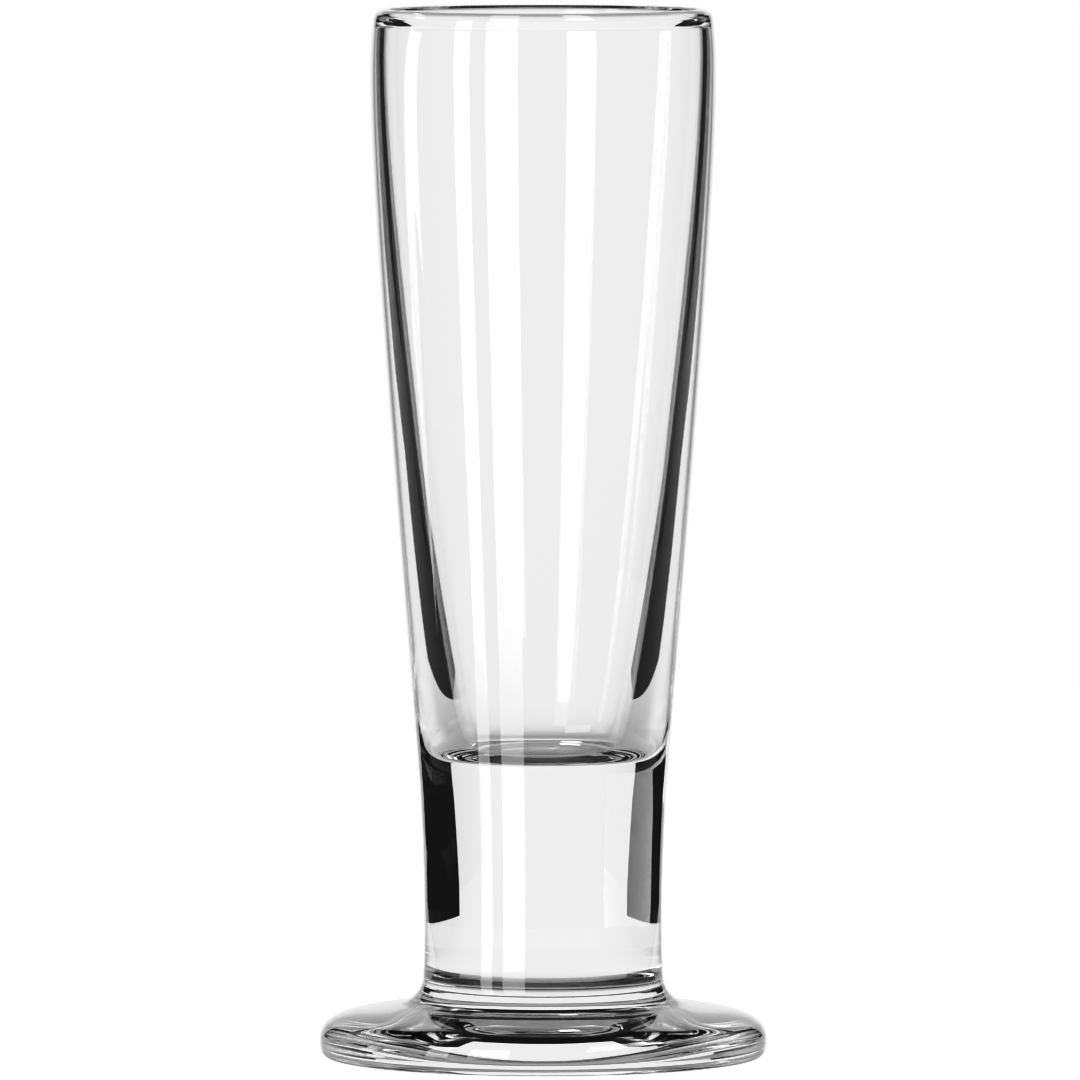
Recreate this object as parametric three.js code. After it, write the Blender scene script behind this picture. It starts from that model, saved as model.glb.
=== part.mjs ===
// A tall clear liqueur glass: a deep tapering bowl, a short waisted stem and a thick round foot.
// Millimetres, +Z up along the glass's axis, standing on z = 0.

import * as THREE from "three";

// Levels, from the floor up: the foot, then the stem, then the bowl.
const footHeight = 9.8;
const stemLength = 24;
const bowlHeight = 93.2;

// Bowl, outside: a slight belly under the rim, then a long taper to the stem.
const rimRadius = 20.45;
const bellyAngle = 11;
const bellyLength = 8;
const taperAngle = 4.55;
const taperLength = 50;

// Lip: a round bead, melted thicker than the wall, that tucks back into the wall inside.
const lipWidth = 2;
const lipTuckAngle = 40;
const lipTuckLength = 1;
const mouthRadius = 19.5;
const mouthDrop = 3.8;
const mouthRise = 1.1;

// Bowl, inside: its own taper, so that the wall grows thicker towards the base, and a tight corner.
const wellTopAngle = 4;
const wellTopLength = 13;
const wellTaperAngle = 13;
const wellTaperLength = 14;
const wellRadius = 10.5;
const wellFloorRadius = 8.2;
const wellCornerHeight = 4.65;
const wellCornerDrop = 3.2;
const wellCornerReach = 1.1;
const wellBase = 2.35;

// Stem: solid, drawn in to a waist above the foot.
const stemTopRadius = 15;
const stemTopLength = 2.5;
const stemBottomRadius = 14.55;
const stemBottomAngle = 3.5;
const stemBottomLength = 8.2;

// Foot: a fillet under the stem, a low cone, a full round edge and a hollowed underside.
const footFillet = 3.55;
const footTopAngle = 9.3;
const footTopLength = 6.6;
const footRadius = 27.1;
const footWidestHeight = 1.9;
const footShoulder = 3.45;
const footHeel = 1.8;
const ringRadius = 25.4;
const ringHeel = 0.75;
const ringWidth = 2.6;
const puntDepth = 1.2;

// Facets: sides round the axis, and steps along each curve of an outline.
const sides = 60;
const wallSteps = 20;
const curveSteps = 10;
const cornerSteps = 5;
const lipSteps = 4;

const radians = THREE.MathUtils.degToRad;

// Unit direction that leans outwards by an angle from straight up, in an outline's (radius, height) plane.
const leaning = (angle) => new THREE.Vector2(Math.sin(radians(angle)), Math.cos(radians(angle)));

// A cubic curve that leaves start along one direction and arrives at end along another.
const blend = (start, startHandle, endHandle, end) =>
  new THREE.CubicBezierCurve(start, start.clone().add(startHandle), end.clone().add(endHandle), end);

// An outline is a run of curves with a step count each; neighbouring curves share their end points.
function outline(...runs) {
  const points = [];
  for (const [curve, steps] of runs) {
    const next = curve.getPoints(steps);
    if (points.length) next.shift();
    points.push(...next);
  }
  return points;
}

const at = (radius, height) => new THREE.Vector2(radius, height);
const line = (from, to) => new THREE.LineCurve(from, to);

const arc = (centre, radius, from, to) =>
  new THREE.EllipseCurve(centre.x, centre.y, radius, radius, radians(from), radians(to), to < from);

// One solid of revolution, resting at its own height on the axis.
function revolved(name, points, height) {
  const geometry = new THREE.LatheGeometry(points, sides).rotateX(Math.PI / 2);
  const material = new THREE.MeshStandardMaterial({
    color: 0xf3f7f6,
    roughness: 0.03,
    metalness: 0,
    transparent: true,
    opacity: 0.35,
  });
  const mesh = new THREE.Mesh(geometry, material);
  mesh.name = name;
  mesh.position.z = height;
  return mesh;
}

// Foot, from the hollow underside out round the edge and up the fillet to the stem's seat.
function footOutline() {
  const puntTop = at(0, puntDepth);
  const ringInside = at(ringRadius - ringWidth, 0);
  const ringOutside = at(ringRadius, 0);
  const widest = at(footRadius, footWidestHeight);
  const seat = at(stemBottomRadius, footHeight);
  const domeReach = (ringRadius - ringWidth) / 2;
  const filletCentre = seat.clone().add(leaning(90 - stemBottomAngle).multiplyScalar(footFillet));
  const filletEnd = filletCentre.clone().sub(leaning(footTopAngle).multiplyScalar(footFillet));
  const downSlope = leaning(90 + footTopAngle).multiplyScalar(footTopLength);
  return outline(
    [blend(puntTop, at(domeReach, 0), at(-domeReach, 0), ringInside), curveSteps],
    [line(ringInside, ringOutside), 1],
    [blend(ringOutside, at(ringHeel, 0), at(0, -footHeel), widest), cornerSteps],
    [blend(widest, at(0, footShoulder), downSlope, filletEnd), curveSteps],
    [arc(filletCentre, footFillet, 270 - footTopAngle, 180 + stemBottomAngle), cornerSteps],
    [line(seat, at(0, footHeight)), 1],
  );
}

// Stem, from its seat on the foot up through the waist to the bowl's seat.
function stemOutline() {
  const bottom = at(stemBottomRadius, 0);
  const top = at(stemTopRadius, stemLength);
  const inwards = leaning(-stemBottomAngle).multiplyScalar(stemBottomLength);
  const fromBowl = leaning(taperAngle).multiplyScalar(-stemTopLength);
  return outline(
    [line(at(0, 0), bottom), 1],
    [blend(bottom, inwards, fromBowl, top), curveSteps],
    [line(top, at(0, stemLength)), 1],
  );
}

// Bowl, up the outside, over the beaded lip and down the inside to the flat floor of the well.
function bowlOutline() {
  const lip = lipWidth / 2;
  const seat = at(stemTopRadius, 0);
  const lipCentre = at(rimRadius - lip, bowlHeight - lip);
  const lipOutside = lipCentre.clone().add(leaning(90 - bellyAngle).multiplyScalar(lip));
  const lipInside = lipCentre.clone().sub(leaning(90 - lipTuckAngle).multiplyScalar(lip));
  const mouth = at(mouthRadius, bowlHeight - mouthDrop);
  const cornerTop = at(wellRadius, wellBase + wellCornerHeight);
  const cornerFoot = at(wellFloorRadius, wellBase);
  const taper = leaning(taperAngle).multiplyScalar(taperLength);
  const belly = leaning(180 - bellyAngle).multiplyScalar(bellyLength);
  const tuck = leaning(180 - lipTuckAngle).multiplyScalar(lipTuckLength);
  const toMouth = leaning(-wellTopAngle).multiplyScalar(mouthRise);
  const wellTop = leaning(180 - wellTopAngle).multiplyScalar(wellTopLength);
  const wellTaper = leaning(wellTaperAngle).multiplyScalar(wellTaperLength);
  const intoCorner = leaning(wellTaperAngle).multiplyScalar(-wellCornerDrop);
  return outline(
    [line(at(0, 0), seat), 1],
    [blend(seat, taper, belly, lipOutside), wallSteps],
    [arc(lipCentre, lip, bellyAngle, 90), lipSteps],
    [arc(lipCentre, lip, 90, 180 + lipTuckAngle), lipSteps],
    [blend(lipInside, tuck, toMouth, mouth), cornerSteps],
    [blend(mouth, wellTop, wellTaper, cornerTop), wallSteps],
    [blend(cornerTop, intoCorner, at(wellCornerReach, 0), cornerFoot), cornerSteps],
    [line(cornerFoot, at(0, wellBase)), 1],
  );
}

const glass = new THREE.Group();
glass.name = "liqueur_glass";
glass.add(
  revolved("foot", footOutline(), 0),
  revolved("stem", stemOutline(), footHeight),
  revolved("bowl", bowlOutline(), footHeight + stemLength),
);

export default glass;
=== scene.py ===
import math

import bpy
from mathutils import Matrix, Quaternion, Vector


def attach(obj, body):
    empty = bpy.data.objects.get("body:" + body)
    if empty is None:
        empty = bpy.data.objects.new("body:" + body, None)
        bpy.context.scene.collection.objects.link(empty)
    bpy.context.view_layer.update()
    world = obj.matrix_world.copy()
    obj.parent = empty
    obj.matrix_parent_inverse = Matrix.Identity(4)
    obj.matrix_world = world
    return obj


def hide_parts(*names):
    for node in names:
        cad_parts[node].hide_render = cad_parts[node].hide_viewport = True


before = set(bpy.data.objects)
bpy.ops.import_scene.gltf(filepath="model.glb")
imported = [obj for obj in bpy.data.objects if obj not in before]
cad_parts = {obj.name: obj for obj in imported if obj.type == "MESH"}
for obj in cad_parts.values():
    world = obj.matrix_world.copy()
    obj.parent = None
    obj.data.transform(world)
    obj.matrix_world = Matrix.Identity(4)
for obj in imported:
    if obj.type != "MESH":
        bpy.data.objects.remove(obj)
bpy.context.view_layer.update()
print("frame loaded:", sorted(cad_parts))

mm = 0.001

# The glass's outline, in millimetres and degrees, from the underside round to the inside of the bowl
glassShape = {
    "footHeight": 9.8,
    "stemLength": 24.0,
    "bowlHeight": 93.2,
    "rimRadius": 20.45,
    "lipOut": (1.35, 1.1),  # width and drop of the lip's round outside its top, full
    "lipIn": (0.55, 0.8),  # and inside it, tighter
    "lipTuck": (32.0, 0.9),  # lean and length of a curve's handle, as in the pairs without a note
    "lipRise": 1.1,  # a handle's length alone
    "belly": (11.0, 8.0),
    "taper": (4.55, 50.0),
    "mouthRadius": 19.25,
    "mouthDrop": 3.0,
    "wellTop": (4.0, 13.0),
    "wellTaper": (13.0, 14.0),
    "wellRadius": 10.5,
    "wellFloorRadius": 5.8,
    "wellCornerHeight": 4.65,
    "wellCorner": (3.6, 3.4),  # how far the corner keeps to the wall, and to the floor
    "wellBase": 2.35,
    "stemTopRadius": 15.0,
    "stemTop": 2.5,
    "stemBottomRadius": 14.55,
    "stemBottom": (3.5, 8.2),
    "footFillet": 3.55,
    "footTop": (9.3, 6.6),
    "footRadius": 27.1,
    "footWidestHeight": 1.9,
    "footShoulder": 3.45,
    "footHeel": 1.8,
    "ringRadius": 25.4,
    "ringHeel": 0.75,
    "ringWidth": 2.6,
    "puntDepth": 1.2,
    "sides": 192,
    "steps": {  # along each curve
        "punt": 36, "ring": 6, "heel": 22, "shoulder": 44, "fillet": 24, "stem": 36, "wall": 90,
        "lipOut": 12, "lipIn": 18, "tuck": 18, "corner": 28, "floor": 10,
    },
    "weld": 0.001,
    "waviness": 0.03,  # unevenness of the hot-worked surfaces
    "waveTop": (8.0, 30.0),  # heights between which it calms down
    "waveCalm": 0.2,  # and the share of it that is left above them
    "waveSize": 9.0,
    "waveSeed": 3.7,
}


def at(radius, height):
    return Vector((radius, height))


def leaning(angle, length):
    return Vector((math.sin(math.radians(angle)), math.cos(math.radians(angle)))) * length


def curveRun(start, startHandle, endHandle, end, steps):
    a, b, c, d = start, start + startHandle, end + endHandle, end
    run = []
    for i in range(steps + 1):
        t = i / steps
        s = 1 - t
        run.append(a * s ** 3 + b * 3 * s * s * t + c * 3 * s * t * t + d * t ** 3)
    return run


def arcRun(centre, radii, first, last, steps):
    across, up = radii
    run = []
    for i in range(steps + 1):
        a = math.radians(first + (last - first) * i / steps)
        run.append(centre + Vector((across * math.cos(a), up * math.sin(a))))
    return run


# Where an ellipse with these half-widths runs at a given lean from straight up
def ellipseTurn(radii, lean):
    return math.degrees(math.atan(math.tan(math.radians(lean)) * radii[1] / radii[0]))


def lineRun(start, end, steps):
    return [start.lerp(end, i / steps) for i in range(steps + 1)]


def glassOutline(g):
    steps = g["steps"]
    bowlFloor = g["footHeight"] + g["stemLength"]
    top = bowlFloor + g["bowlHeight"]
    ringIn, ringOut = at(g["ringRadius"] - g["ringWidth"], 0), at(g["ringRadius"], 0)
    widest = at(g["footRadius"], g["footWidestHeight"])
    footSeat = at(g["stemBottomRadius"], g["footHeight"])
    stemLean, stemReach = g["stemBottom"]
    slope, slopeReach = g["footTop"]
    filletCentre = footSeat + leaning(90 - stemLean, g["footFillet"])
    filletEnd = filletCentre - leaning(slope, g["footFillet"])
    bowlSeat = at(g["stemTopRadius"], bowlFloor)
    lipOut, lipIn = g["lipOut"], g["lipIn"]
    lipTop = g["rimRadius"] - lipOut[0]
    bellyLean, bellyReach = g["belly"]
    tuckLean, tuckReach = g["lipTuck"]
    outerTurn, innerTurn = ellipseTurn(lipOut, bellyLean), ellipseTurn(lipIn, tuckLean)
    outer = arcRun(at(lipTop, top - lipOut[1]), lipOut, outerTurn, 90, steps["lipOut"])
    inner = arcRun(at(lipTop, top - lipIn[1]), lipIn, 90, 180 + innerTurn, steps["lipIn"])
    mouth = at(g["mouthRadius"], top - g["mouthDrop"])
    mouthLean, mouthReach = g["wellTop"]
    wellLean, wellReach = g["wellTaper"]
    wellFloor = bowlFloor + g["wellBase"]
    cornerTop = at(g["wellRadius"], wellFloor + g["wellCornerHeight"])
    cornerFoot = at(g["wellFloorRadius"], wellFloor)
    cornerDrop, cornerReach = g["wellCorner"]
    dome = ringIn.x / 2
    downSlope = leaning(90 + slope, slopeReach)
    fillet = (g["footFillet"], g["footFillet"])
    intoWaist = leaning(-stemLean, stemReach)
    fromBowl = leaning(g["taper"][0], -g["stemTop"])
    belly = leaning(180 - bellyLean, bellyReach)
    tuck = leaning(180 - tuckLean, tuckReach)
    toMouth = leaning(-mouthLean, g["lipRise"])
    wellTop = leaning(180 - mouthLean, mouthReach)
    wellTaper = leaning(wellLean, wellReach)
    intoCorner = leaning(wellLean, -cornerDrop)
    runs = [
        curveRun(at(0, g["puntDepth"]), at(dome, 0), at(-dome, 0), ringIn, steps["punt"]),
        lineRun(ringIn, ringOut, steps["ring"]),
        curveRun(ringOut, at(g["ringHeel"], 0), at(0, -g["footHeel"]), widest, steps["heel"]),
        curveRun(widest, at(0, g["footShoulder"]), downSlope, filletEnd, steps["shoulder"]),
        arcRun(filletCentre, fillet, 270 - slope, 180 + stemLean, steps["fillet"]),
        curveRun(footSeat, intoWaist, fromBowl, bowlSeat, steps["stem"]),
        curveRun(bowlSeat, leaning(*g["taper"]), belly, outer[0], steps["wall"]),
        outer,
        inner,
        curveRun(inner[-1], tuck, toMouth, mouth, steps["tuck"]),
        curveRun(mouth, wellTop, wellTaper, cornerTop, steps["wall"]),
        curveRun(cornerTop, intoCorner, at(cornerReach, 0), cornerFoot, steps["corner"]),
        lineRun(cornerFoot, at(0, wellFloor), steps["floor"]),
    ]
    points = [runs[0][0]]
    for run in runs:
        points.extend(run[1:])
    return points


# Turns an outline (a chain of points, radius on X and height on Z) round the Z axis into one closed skin
def turnedGlassTree():
    tree = bpy.data.node_groups.new("turnedGlass", "GeometryNodeTree")
    sockets = {}
    for name, kind in (
        ("Outline", "Geometry"), ("Sides", "Int"), ("Weld", "Float"), ("Waviness", "Float"),
        ("Calm From", "Float"), ("Calm To", "Float"), ("Calm Share", "Float"),
        ("Wave Size", "Float"), ("Wave Seed", "Float"), ("Finish", "Material"),
    ):
        socket = tree.interface.new_socket(name, in_out="INPUT", socket_type="NodeSocket" + kind)
        sockets[name] = socket.identifier
    tree.interface.new_socket("Glass", in_out="OUTPUT", socket_type="NodeSocketGeometry")
    nodes, links = tree.nodes, tree.links
    given = nodes.new("NodeGroupInput")
    outline = given.outputs["Outline"]

    def put(kind, inputs=None, **settings):
        node = nodes.new(kind)
        for key, value in settings.items():
            setattr(node, key, value)
        for key, value in (inputs or {}).items():
            if isinstance(value, bpy.types.NodeSocket):
                links.new(value, node.inputs[key])
            else:
                node.inputs[key].default_value = value
        return node

    def calc(operation, a, b=None):
        inputs = {0: a} if b is None else {0: a, 1: b}
        return put("ShaderNodeMath", inputs, operation=operation).outputs[0]

    rows = put("GeometryNodeAttributeDomainSize", {"Geometry": outline}, component="MESH")
    columns = calc("ADD", given.outputs["Sides"], 1.0)
    sheet = put("GeometryNodeMeshGrid", {"Vertices X": rows.outputs["Point Count"], "Vertices Y": columns})
    index = put("GeometryNodeInputIndex").outputs[0]
    row = calc("FLOOR", calc("DIVIDE", calc("ADD", index, 0.5), columns))
    column = calc("SUBTRACT", index, calc("MULTIPLY", row, columns))
    angle = calc("DIVIDE", calc("MULTIPLY", column, math.tau), given.outputs["Sides"])
    place = put("GeometryNodeInputPosition").outputs[0]
    point = put("GeometryNodeSampleIndex", {"Geometry": outline, "Value": place, "Index": row},
                data_type="FLOAT_VECTOR", domain="POINT")
    split = put("ShaderNodeSeparateXYZ", {0: point.outputs[0]})
    ring = put("ShaderNodeCombineXYZ", {
        "X": calc("MULTIPLY", split.outputs["X"], calc("COSINE", angle)),
        "Y": calc("MULTIPLY", split.outputs["X"], calc("SINE", angle)),
        "Z": split.outputs["Z"]})
    turned = put("GeometryNodeSetPosition", {"Geometry": sheet.outputs["Mesh"], "Position": ring.outputs[0]})
    closed = put("GeometryNodeMergeByDistance", {
        "Geometry": turned.outputs[0], "Distance": given.outputs["Weld"]})

    shift = put("ShaderNodeVectorMath", {0: place, 1: given.outputs["Wave Seed"]}, operation="ADD")
    waves = put("ShaderNodeTexNoise", {
        "Vector": shift.outputs[0], "Scale": calc("DIVIDE", 1.0, given.outputs["Wave Size"]), "Detail": 1.0})
    up = put("ShaderNodeSeparateXYZ", {0: place}).outputs["Z"]
    calm = put("ShaderNodeMapRange", {
        "Value": up, "From Min": given.outputs["Calm From"], "From Max": given.outputs["Calm To"],
        "To Min": 1.0, "To Max": given.outputs["Calm Share"]}).outputs["Result"]
    wave = calc("MULTIPLY", calc("SUBTRACT", waves.outputs[0], 0.5), calm)
    height = calc("MULTIPLY", wave, given.outputs["Waviness"])
    normal = put("GeometryNodeInputNormal").outputs[0]
    push = put("ShaderNodeVectorMath", {0: normal, "Scale": height}, operation="SCALE")
    uneven = put("GeometryNodeSetPosition", {"Geometry": closed.outputs[0], "Offset": push.outputs[0]})

    outward = put("GeometryNodeFlipFaces", {"Mesh": uneven.outputs[0]})
    smooth = put("GeometryNodeSetShadeSmooth", {"Geometry": outward.outputs[0]})
    real = put("GeometryNodeRealizeInstances", {"Geometry": smooth.outputs[0]})
    finish = put("GeometryNodeSetMaterial", {
        "Geometry": real.outputs[0], "Material": given.outputs["Finish"]})
    put("NodeGroupOutput", {"Glass": finish.outputs[0]})
    return tree, sockets


# Shader nodes that several materials need: a range spread to another, a sum and a run of greys
def mapNode(tree, value, source, target):
    node = tree.nodes.new("ShaderNodeMapRange")
    for key, number in zip(("From Min", "From Max", "To Min", "To Max"), (*source, *target)):
        node.inputs[key].default_value = number
    tree.links.new(value, node.inputs["Value"])
    return node.outputs["Result"]


def mathNode(tree, operation, *values):
    node = tree.nodes.new("ShaderNodeMath")
    node.operation = operation
    for socket, value in zip(node.inputs, values):
        if isinstance(value, bpy.types.NodeSocket):
            tree.links.new(value, socket)
        else:
            socket.default_value = value
    return node.outputs[0]


def greyRamp(tree, value, greys):
    node = tree.nodes.new("ShaderNodeValToRGB")
    stops = node.color_ramp.elements
    while len(stops) < len(greys):
        stops.new(0.5)
    for stop, (place, bright) in zip(stops, greys):
        stop.position = place
        stop.color = (bright, bright, bright, 1)
    tree.links.new(value, node.inputs[0])
    return node.outputs[0]


# Clear, fire-polished glass, with painted shade that darkens its outlines to the eye where the skin turns
# away from it;
# each noise has a scale and a detail
clearFinish = {
    "ior": 1.52,
    "absorption": 2.4,  # share lost per metre of glass
    "tint": ((0.99, 0.99, 0.99), (1.0, 1.0, 1.0)),
    "tintNoise": (35.0, 2.0),
    "edge": (0.68, 0.82),  # how far the skin turns away before the painted shade darkens its outline
    "paintedEdgeShade": (0.06, 0.06, 0.06),
    "roughness": (0.0, 0.006),
    "smudge": (0.55, 0.8),  # where in its noise the roughness rises
    "smudgeNoise": (90.0, 3.0),
    "ripple": 0.02,
    "rippleDepth": 0.0002,
    "rippleNoise": (160.0, 1.0),
}


def clearGlassMaterial(f):
    material = bpy.data.materials.new("clearGlass")
    material.use_nodes = True
    tree = material.node_tree
    nodes, links = tree.nodes, tree.links
    shader = nodes["Principled BSDF"]
    shader.inputs["Metallic"].default_value = 0.0
    shader.inputs["Transmission Weight"].default_value = 1.0
    shader.inputs["IOR"].default_value = f["ior"]
    coords = nodes.new("ShaderNodeTexCoord")

    def noise(scale, detail):
        node = nodes.new("ShaderNodeTexNoise")
        node.inputs["Scale"].default_value = scale
        node.inputs["Detail"].default_value = detail
        links.new(coords.outputs["Object"], node.inputs["Vector"])
        return node.outputs[0]

    tint = nodes.new("ShaderNodeMix")
    tint.data_type = "RGBA"
    tint.inputs["A"].default_value = (*f["tint"][0], 1)
    tint.inputs["B"].default_value = (*f["tint"][1], 1)
    links.new(noise(*f["tintNoise"]), tint.inputs["Factor"])
    facing = nodes.new("ShaderNodeLayerWeight").outputs["Facing"]
    toEye = nodes.new("ShaderNodeLightPath").outputs["Is Camera Ray"]
    # painted shade: for the eye only, the base colour darkens towards the outlines as the skin turns away
    edge = nodes.new("ShaderNodeMix")
    edge.data_type = "RGBA"
    turned = mapNode(tree, facing, f["edge"], (0.0, 1.0))
    links.new(mathNode(tree, "MULTIPLY", turned, toEye), edge.inputs["Factor"])
    links.new(tint.outputs["Result"], edge.inputs["A"])
    edge.inputs["B"].default_value = (*f["paintedEdgeShade"], 1)
    links.new(edge.outputs["Result"], shader.inputs["Base Color"])
    smudges = mapNode(tree, noise(*f["smudgeNoise"]), f["smudge"], f["roughness"])
    links.new(smudges, shader.inputs["Roughness"])
    bump = nodes.new("ShaderNodeBump")
    bump.inputs["Strength"].default_value = f["ripple"]
    bump.inputs["Distance"].default_value = f["rippleDepth"]
    links.new(noise(*f["rippleNoise"]), bump.inputs["Height"])
    links.new(bump.outputs["Normal"], shader.inputs["Normal"])
    depth = nodes.new("ShaderNodeVolumeAbsorption")
    depth.inputs["Color"].default_value = (0, 0, 0, 1)
    depth.inputs["Density"].default_value = f["absorption"]
    links.new(depth.outputs[0], nodes["Material Output"].inputs["Volume"])
    return material


clearGlass = clearGlassMaterial(clearFinish)
print("material made: clearGlass")


def makeGlass(g, material):
    points = glassOutline(g)
    chain = bpy.data.meshes.new("glassOutline")
    edges = [(i, i + 1) for i in range(len(points) - 1)]
    chain.from_pydata([(p.x * mm, 0, p.y * mm) for p in points], edges, [])
    holder = bpy.data.objects.new("glassOutline", chain)
    bpy.context.scene.collection.objects.link(holder)
    tree, sockets = turnedGlassTree()
    turn = holder.modifiers.new("turn", "NODES")
    turn.node_group = tree
    turn[sockets["Sides"]] = g["sides"]
    turn[sockets["Weld"]] = g["weld"] * mm
    turn[sockets["Waviness"]] = g["waviness"] * mm
    turn[sockets["Calm From"]], turn[sockets["Calm To"]] = (height * mm for height in g["waveTop"])
    turn[sockets["Calm Share"]] = g["waveCalm"]
    turn[sockets["Wave Size"]] = g["waveSize"] * mm
    turn[sockets["Wave Seed"]] = g["waveSeed"]
    turn[sockets["Finish"]] = material
    evaluated = holder.evaluated_get(bpy.context.evaluated_depsgraph_get())
    skin = bpy.data.meshes.new_from_object(evaluated)
    skin.name = "liqueurGlass"
    piece = bpy.data.objects.new("liqueurGlass", skin)
    bpy.context.scene.collection.objects.link(piece)
    bpy.data.objects.remove(holder)
    return piece


glassPiece = makeGlass(glassShape, clearGlass)
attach(glassPiece, "root")
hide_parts("bowl", "stem", "foot")
print("glass made:", len(glassPiece.data.vertices), "points,", len(glassPiece.data.polygons), "faces")

# Pale table top just under the foot's ring, round in front and running back, lit by its own painted glow:
# white to the eye, and for what the glass bends a painted sheen, white along the surface, grey on the slant
# and paler from above, with a painted shadow under the foot
tableTop = {
    "aside": 0.19, "front": 0.12, "back": 0.65, "drop": 0.0003, "sides": 48,
    "colour": (0.1, 0.1, 0.1), "seen": 0.98,
    "paintedSheen": ((0.0, 0.72), (0.14, 0.62), (0.22, 0.34), (0.25, 0.26), (0.38, 0.27), (0.5, 0.42), (0.6, 0.55),
              (0.67, 0.63), (0.74, 0.73), (0.81, 0.82), (0.9, 0.92)),  # by how flat the look is
    "fade": (0.29, 0.7), "fadeTo": 0.72, "near": 0.1,  # how the sheen falls off to the sides
    "shade": (0.018, 0.03), "shadeTone": 0.12,  # the foot's painted shadow under it
}


def tableMaterial(t):
    material = bpy.data.materials.new("paleTable")
    material.use_nodes = True
    material.cycles.emission_sampling = "NONE"
    tree = material.node_tree
    nodes, links = tree.nodes, tree.links
    shader = nodes["Principled BSDF"]
    shader.inputs["Base Color"].default_value = (*t["colour"], 1)
    shader.inputs["Roughness"].default_value = 1.0
    shader.inputs["Specular IOR Level"].default_value = 0.0
    shader.inputs["Emission Color"].default_value = (1, 1, 1, 1)
    coords = nodes.new("ShaderNodeTexCoord").outputs["Object"]
    facing = nodes.new("ShaderNodeLayerWeight").outputs["Facing"]
    place = nodes.new("ShaderNodeSeparateXYZ")
    links.new(coords, place.inputs[0])
    aside = mathNode(tree, "ABSOLUTE", place.outputs["X"])
    behind = mathNode(tree, "MAXIMUM", place.outputs["Y"], t["near"])
    fade = mapNode(tree, mathNode(tree, "DIVIDE", aside, behind), t["fade"], (1.0, t["fadeTo"]))
    away = nodes.new("ShaderNodeVectorMath")
    away.operation = "LENGTH"
    links.new(coords, away.inputs[0])
    # painted shadow: the table's glow darkens near the foot's axis, for what the glass bends
    shade = mapNode(tree, away.outputs["Value"], t["shade"], (t["shadeTone"], 1.0))
    # painted sheen: for what the glass bends, the table's glow follows how flat the look is and falls off to
    # the sides
    bent = mathNode(tree, "MULTIPLY", greyRamp(tree, facing, t["paintedSheen"]), fade)
    shaded = mathNode(tree, "MULTIPLY", bent, shade)
    glow = nodes.new("ShaderNodeMix")
    links.new(nodes.new("ShaderNodeLightPath").outputs["Is Camera Ray"], glow.inputs["Factor"])
    links.new(shaded, glow.inputs["A"])
    glow.inputs["B"].default_value = t["seen"]
    links.new(glow.outputs["Result"], shader.inputs["Emission Strength"])
    return material


def makeTable(t):
    edge = [(-t["aside"], t["back"])]
    for i in range(t["sides"] + 1):
        a = math.pi * (1 + i / t["sides"])
        edge.append((t["aside"] * math.cos(a), t["front"] * math.sin(a)))
    edge.append((t["aside"], t["back"]))
    mesh = bpy.data.meshes.new("tableTop")
    mesh.from_pydata([(x, y, -t["drop"]) for x, y in edge], [], [list(range(len(edge)))])
    table = bpy.data.objects.new("tableTop", mesh)
    bpy.context.scene.collection.objects.link(table)
    mesh.materials.append(tableMaterial(t))
    return table


table = makeTable(tableTop)
print("table made")

# Long lens, a little above the glass
cameraSetup = {
    "distance": 1.92, "lift": 3.444, "aim": (-0.000388, 0.0, 0.062747), "farthest": 50.0,
    "sensor": 36.0, "pixelsPerMm": 8.2625, "frame": 1080,
}


def makeCamera(c):
    data = bpy.data.cameras.new("camera")
    camera = bpy.data.objects.new("camera", data)
    bpy.context.scene.collection.objects.link(camera)
    aim = Vector(c["aim"])
    camera.location = aim + Vector((0, -c["distance"], c["distance"] * math.tan(math.radians(c["lift"]))))
    camera.rotation_euler = (aim - camera.location).to_track_quat("-Z", "Y").to_euler()
    reach = (aim - camera.location).length
    data.sensor_width = c["sensor"]
    data.lens = c["sensor"] * c["pixelsPerMm"] / mm * reach / c["frame"]
    data.clip_end = c["farthest"]
    bpy.context.scene.camera = camera
    bpy.context.view_layer.update()
    return camera


camera = makeCamera(cameraSetup)
print("camera set: lens", round(camera.data.lens))


# Stand that turns about the glass to face the camera and stays level; the studio hangs on it
def makeStand(camera):
    stand = bpy.data.objects.new("studioStand", None)
    bpy.context.scene.collection.objects.link(stand)
    follow = stand.constraints.new("LOCKED_TRACK")
    follow.target = camera
    follow.track_axis = "TRACK_NEGATIVE_Y"
    follow.lock_axis = "LOCK_Z"
    return stand


studioStand = makeStand(camera)
table.parent = studioStand


def hideFromEye(thing):
    thing.visible_camera = False
    thing.visible_diffuse = False
    thing.visible_shadow = False


def makePanel(name, corners, faces, shader):
    mesh = bpy.data.meshes.new(name)
    mesh.from_pydata(corners, [], faces)
    panel = bpy.data.objects.new(name, mesh)
    bpy.context.scene.collection.objects.link(panel)
    panel.parent = studioStand
    hideFromEye(panel)
    mesh.materials.append(shader)


# Softboxes: azimuth counts from the camera's side towards its left, heights are above the table, bright
# is the panel's own brightness with the white backdrop as 1, bent says if it shows through the glass
softboxes = {
    "stripNear": {"azimuth": (17.5, 39), "height": (-0.7, 0.8), "bright": 4.0, "tilt": 0, "bent": True},
    "stripMiddle": {"azimuth": (50, 62), "height": (-0.7, 0.8), "bright": 4.5, "tilt": 0, "bent": False},
    "stripSide": {"azimuth": (97, 105.5), "height": (-0.13, 0.28), "bright": 4.0, "tilt": -28, "bent": True},
}
softboxDistance = 1.2


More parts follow.
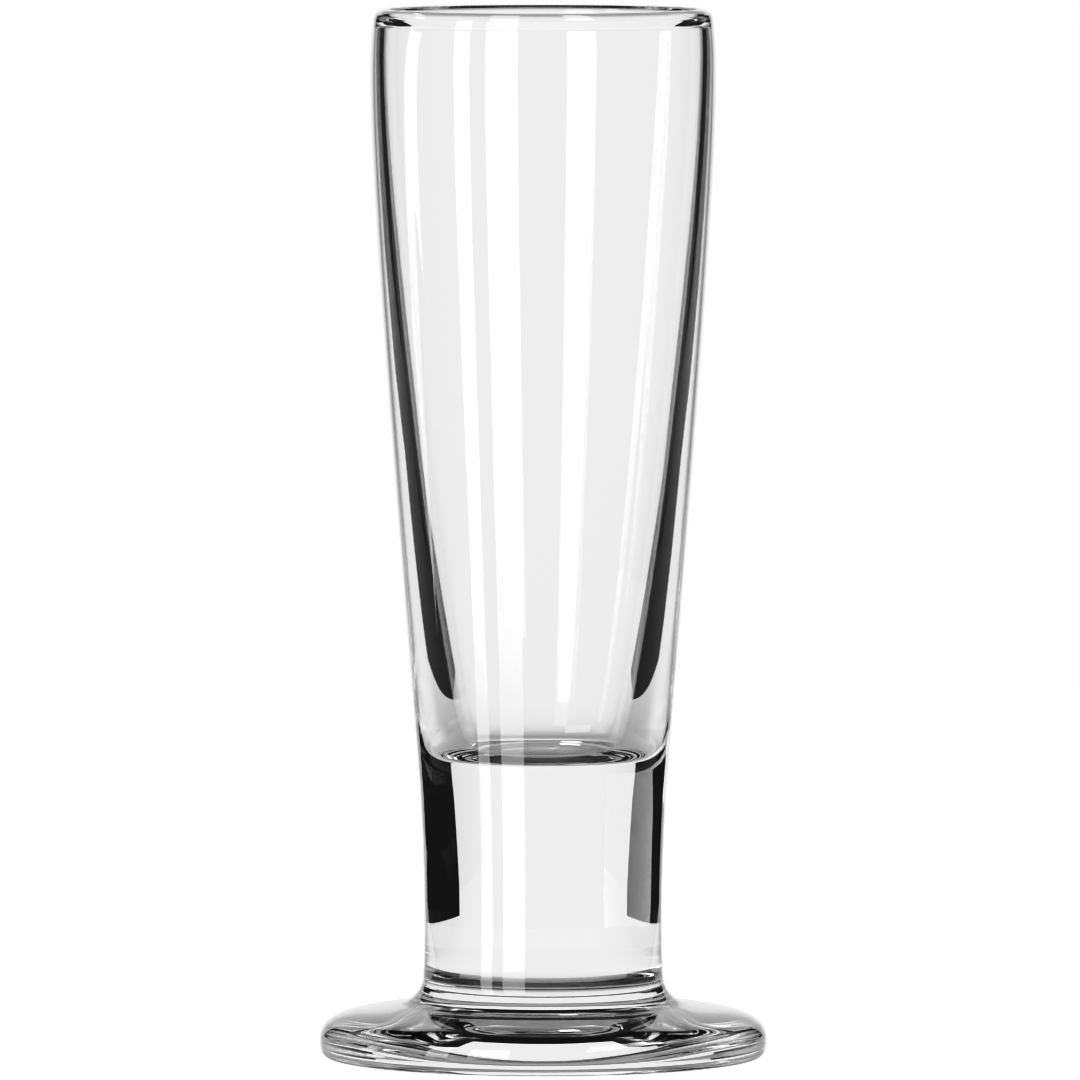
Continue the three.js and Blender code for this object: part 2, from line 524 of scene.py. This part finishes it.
def makeSoftbox(name, s, distance):
    near, far = s["azimuth"]
    bottom, top = s["height"]
    middle = math.radians((near + far) / 2)
    width = 2 * distance * math.tan(math.radians((far - near) / 2))
    data = bpy.data.lights.new(name, "AREA")
    data.shape = "RECTANGLE"
    data.size, data.size_y = width, top - bottom
    data.energy = s["bright"] * math.pi * width * (top - bottom)
    lamp = bpy.data.objects.new(name, data)
    bpy.context.scene.collection.objects.link(lamp)
    out = Vector((-math.sin(middle), -math.cos(middle), 0))
    lamp.location = out * distance + Vector((0, 0, (bottom + top) / 2))
    tilt = Quaternion((0, 0, 1), math.radians(s["tilt"]))
    lamp.rotation_euler = ((-out).to_track_quat("-Z", "Y") @ tilt).to_euler()
    lamp.parent = studioStand
    hideFromEye(lamp)
    lamp.visible_transmission = s["bent"]


for name, setup in softboxes.items():
    makeSoftbox(name, setup, softboxDistance)
print("softboxes set:", len(softboxes))

# Lit backdrop behind the glass: full in the middle, falling off to the sides (degrees, brightness),
# much more below the height where it changes than above
rightAngle = 90
backdropSetup = {
    "distance": 2.0, "reach": 75, "bottom": -0.8, "top": 1.8, "sides": 60,
    "low": ((0, 1.03), (16, 1.03), (24, 0.86), (34, 0.75), (37, 0.7), (39, 0.1), (60, 0.05), (75, 0.02)),
    "high": ((0, 1.03), (24, 1.0), (45, 0.9), (75, 0.8)), "change": (0.5, 0.62),
}


def backdropMaterial(b):
    material = bpy.data.materials.new("litBackdrop")
    material.use_nodes = True
    tree = material.node_tree
    nodes, links = tree.nodes, tree.links
    nodes.remove(nodes["Principled BSDF"])
    place = nodes.new("ShaderNodeSeparateXYZ")
    links.new(nodes.new("ShaderNodeTexCoord").outputs["Object"], place.inputs[0])
    turn = mathNode(tree, "ARCTAN2", place.outputs["X"], place.outputs["Y"])
    share = mathNode(tree, "DIVIDE", mathNode(tree, "ABSOLUTE", turn), math.radians(rightAngle))
    tone = nodes.new("ShaderNodeMix")
    tone.data_type = "RGBA"
    links.new(mapNode(tree, place.outputs["Z"], b["change"], (0.0, 1.0)), tone.inputs["Factor"])
    for side, falloff in (("A", b["low"]), ("B", b["high"])):
        greys = [(angle / rightAngle, bright) for angle, bright in falloff]
        links.new(greyRamp(tree, share, greys), tone.inputs[side])
    glow = nodes.new("ShaderNodeEmission")
    links.new(tone.outputs["Result"], glow.inputs["Color"])
    links.new(glow.outputs[0], nodes["Material Output"].inputs["Surface"])
    return material


def makeBackdrop(b):
    corners, faces = [], []
    for i in range(b["sides"] + 1):
        a = math.radians(b["reach"] * (2 * i / b["sides"] - 1))
        for height in (b["bottom"], b["top"]):
            corners.append((math.sin(a) * b["distance"], math.cos(a) * b["distance"], height))
    for i in range(b["sides"]):
        faces.append((2 * i, 2 * i + 1, 2 * i + 3, 2 * i + 2))
    makePanel("backdrop", corners, faces, backdropMaterial(b))


makeBackdrop(backdropSetup)
print("backdrop set")

# Black cards on either side of the glass, from beside it to behind it, just clear of the table and with
# a window in front; a low tongue before the left one keeps the side softbox off the stem (depth, height)
blackCards = {
    "aside": 0.09, "tone": 0.03,
    "shape": ((0.03, 0.007), (0.151, 0.0038), (0.151, 0.012), (0.138, 0.045), (0.165, 0.055), (0.175, 0.07),
              (0.175, 0.2), (0.04, 0.2), (0.04, 0.115), (0.075, 0.1), (0.085, 0.082), (0.067, 0.05),
              (0.052, 0.036), (0.03, 0.033)),
    "tongue": ((0.0, 0.0075), (0.03, 0.007), (0.03, 0.033), (0.0, 0.036)),
}


def makeCards(c):
    black = bpy.data.materials.new("blackCard")
    black.use_nodes = True
    shader = black.node_tree.nodes["Principled BSDF"]
    shader.inputs["Base Color"].default_value = (c["tone"], c["tone"], c["tone"], 1)
    shader.inputs["Roughness"].default_value = 1.0
    shader.inputs["Specular IOR Level"].default_value = 0.0
    for name, side, shape in (
        ("cardLeft", -1, c["shape"]),
        ("cardRight", 1, c["shape"]),
        ("cardTongue", -1, c["tongue"]),
    ):
        corners = [(side * c["aside"], y, z) for y, z in shape]
        makePanel(name, corners, [tuple(range(len(shape)))], black)


makeCards(blackCards)
print("cards set")

# White studio for the eye and for the table, black studio for what the glass bends and mirrors
studio = {"white": 1.111, "seen": 1.0, "black": 0.02, "bounces": 32}

# Contrast of the print: deeper darks, and light greys drawn together
printCurve = (
    (0.0, 0.0), (0.1, 0.045), (0.22, 0.2), (0.45, 0.45), (0.62, 0.74), (0.78, 0.84), (0.9, 0.875), (1.0, 1.0),
)


def makeWorld(s):
    world = bpy.data.worlds.new("studio")
    world.use_nodes = True
    world.cycles.sampling_method = "NONE"
    tree = world.node_tree
    nodes, links = tree.nodes, tree.links
    back = nodes["Background"]
    back.inputs["Color"].default_value = (1, 1, 1, 1)
    path = nodes.new("ShaderNodeLightPath")
    scattered = mathNode(tree, "MINIMUM", path.outputs["Diffuse Depth"], 1.0)
    unseen = mapNode(tree, scattered, (0.0, 1.0), (s["black"], s["white"]))
    bright = nodes.new("ShaderNodeMix")
    links.new(path.outputs["Is Camera Ray"], bright.inputs["Factor"])
    links.new(unseen, bright.inputs["A"])
    bright.inputs["B"].default_value = s["seen"]
    links.new(bright.outputs["Result"], back.inputs["Strength"])
    bpy.context.scene.world = world


def setPrintCurve(settings, points):
    settings.use_curve_mapping = True
    line = settings.curve_mapping.curves[3].points  # the curve for all channels together
    while len(line) < len(points):
        line.new(0.5, 0.5)
    for knot, place in zip(line, points):
        knot.location = place
    settings.curve_mapping.update()


makeWorld(studio)
scene = bpy.context.scene
scene.view_settings.view_transform = "Standard"
setPrintCurve(scene.view_settings, printCurve)
scene.cycles.max_bounces = studio["bounces"]
scene.cycles.transmission_bounces = studio["bounces"]
scene.cycles.glossy_bounces = studio["bounces"]
print("studio set")
